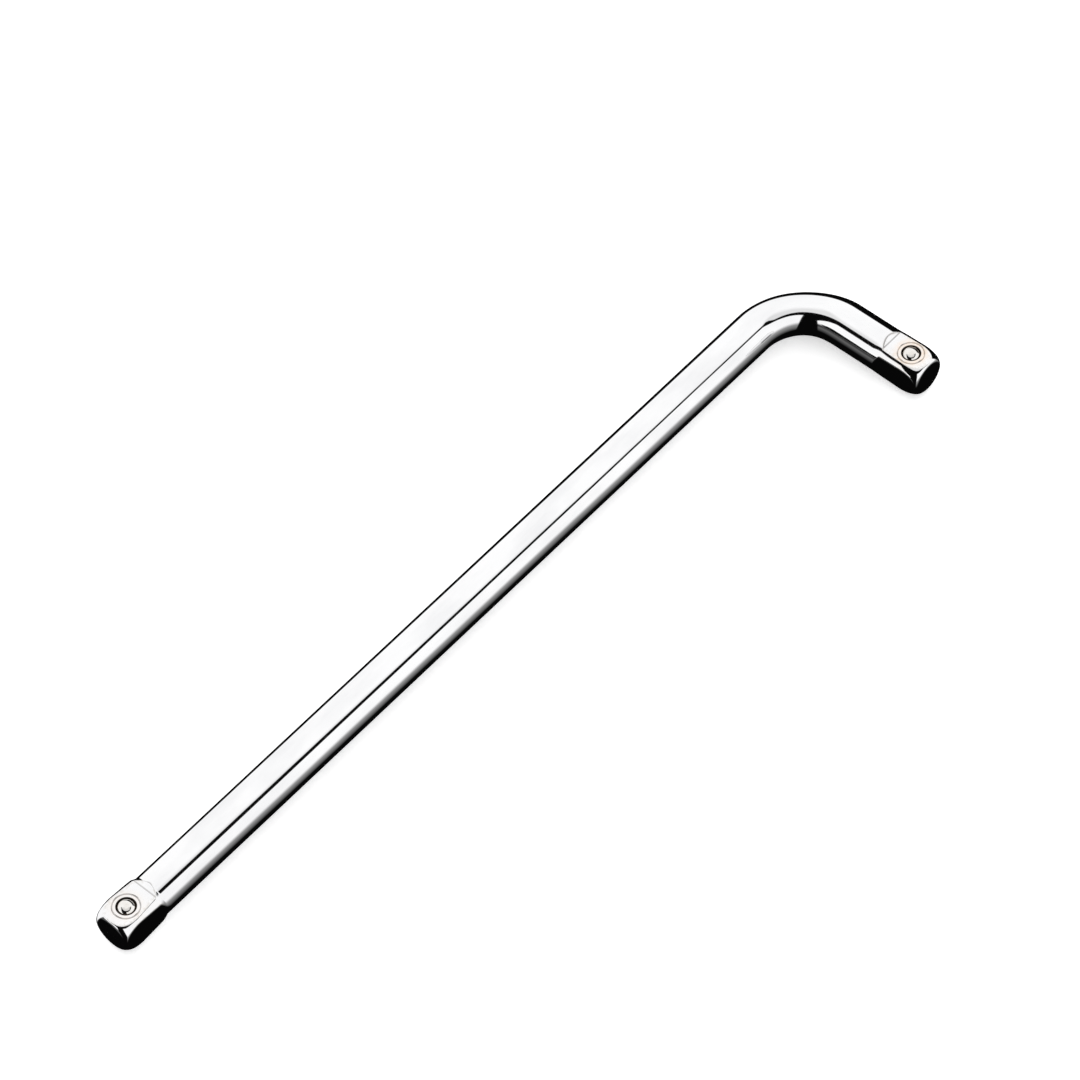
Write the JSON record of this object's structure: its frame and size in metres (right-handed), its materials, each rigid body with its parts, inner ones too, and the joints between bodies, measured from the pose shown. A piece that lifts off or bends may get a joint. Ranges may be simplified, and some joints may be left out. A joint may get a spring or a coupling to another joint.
{
  "type": "l-handle breaker bar",
  "caption": "Chrome L-shaped breaker bar: a round steel bar bent near one end, with a square socket drive and a spring-loaded ball at each end.",
  "frame": {"origin": "centre of the long arm's end face", "axes": "+X along the long arm towards the bend, short arm towards -Y, +Z out of the flats that carry the balls"},
  "size_m": [0.3182, 0.0602, 0.0152],
  "materials": {
    "bar_chrome": "polished chrome plate",
    "ball_steel": "polished bearing steel",
    "spring_steel": "drawn spring wire"
  },
  "bodies": {
    "bar": {"bent_bar": "bar_chrome", "long_drive_spring": "spring_steel", "short_drive_spring": "spring_steel"},
    "long_ball": {"long_drive_ball": "ball_steel"},
    "short_ball": {"short_drive_ball": "ball_steel"}
  },
  "joints": [
    {"name": "long_ball_press", "type": "slide", "parent": "bar", "child": "long_ball", "axis": [0, 0, -1], "range_m": [0, 0.0011], "stiffness_N_per_m": 3000, "deforming": ["long_drive_spring"]},
    {"name": "short_ball_press", "type": "slide", "parent": "bar", "child": "short_ball", "axis": [0, 0, -1], "range_m": [0, 0.0011], "stiffness_N_per_m": 3000, "deforming": ["short_drive_spring"]}
  ]
}
